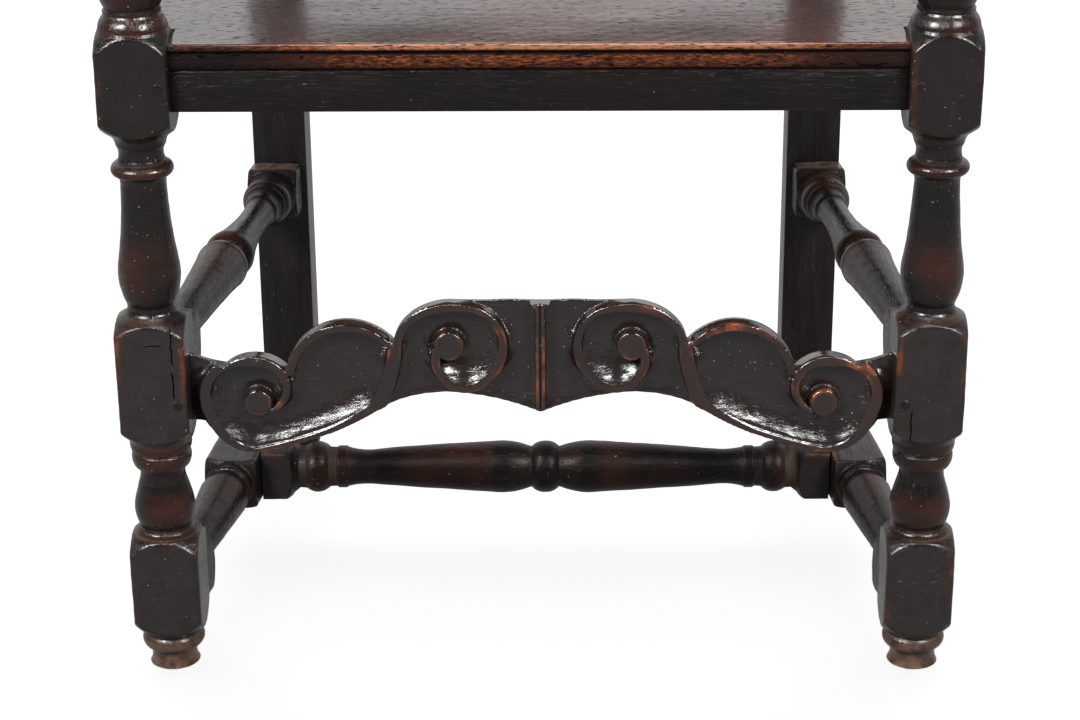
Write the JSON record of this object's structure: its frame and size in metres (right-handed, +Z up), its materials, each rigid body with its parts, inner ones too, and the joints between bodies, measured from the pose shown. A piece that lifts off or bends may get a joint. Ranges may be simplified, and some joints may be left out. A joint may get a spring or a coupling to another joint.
{
  "type": "wainscot chair",
  "caption": "Joined oak armchair with turned posts and stretchers, carved scroll front stretcher, boarded seat and panelled back.",
  "frame": {"origin": "on the floor, in the middle of the overall box", "axes": "+Z up, +Y towards the back of the chair, +X to the right of a viewer who stands in front"},
  "size_m": [0.6006, 0.554, 1.1332],
  "materials": {
    "oak_frame": "old wax polish, nearly black, worn brown on the arrises",
    "oak_seat": "old wax polish, dark brown, rubbed orange along the front edge",
    "oak_panel": "old wax polish, nearly black",
    "oak_pegs": "end grain of riven pegs, nearly black"
  },
  "bodies": {
    "root": {"arm_left": "oak_frame", "arm_pegs": "oak_pegs", "arm_right": "oak_frame", "back_bottom_rail": "oak_frame", "back_panel": "oak_panel", "back_pegs": "oak_pegs", "back_top_rail": "oak_frame", "crest_rail": "oak_frame", "cross_stretcher": "oak_frame", "cross_stretcher_pegs": "oak_pegs", "front_post_left": "oak_frame", "front_post_right": "oak_frame", "front_stretcher": "oak_frame", "front_stretcher_pegs": "oak_pegs", "lower_side_stretcher_left": "oak_frame", "lower_side_stretcher_right": "oak_frame", "rear_post_left": "oak_frame", "rear_post_right": "oak_frame", "seat_board_back": "oak_seat", "seat_board_front": "oak_seat", "seat_frame_pegs": "oak_pegs", "seat_pins": "oak_pegs", "seat_rail_back": "oak_frame", "seat_rail_front": "oak_frame", "seat_rail_left": "oak_frame", "seat_rail_right": "oak_frame", "side_stretcher_pegs": "oak_pegs", "upper_side_stretcher_left": "oak_frame", "upper_side_stretcher_right": "oak_frame"}
  },
  "joints": []
}
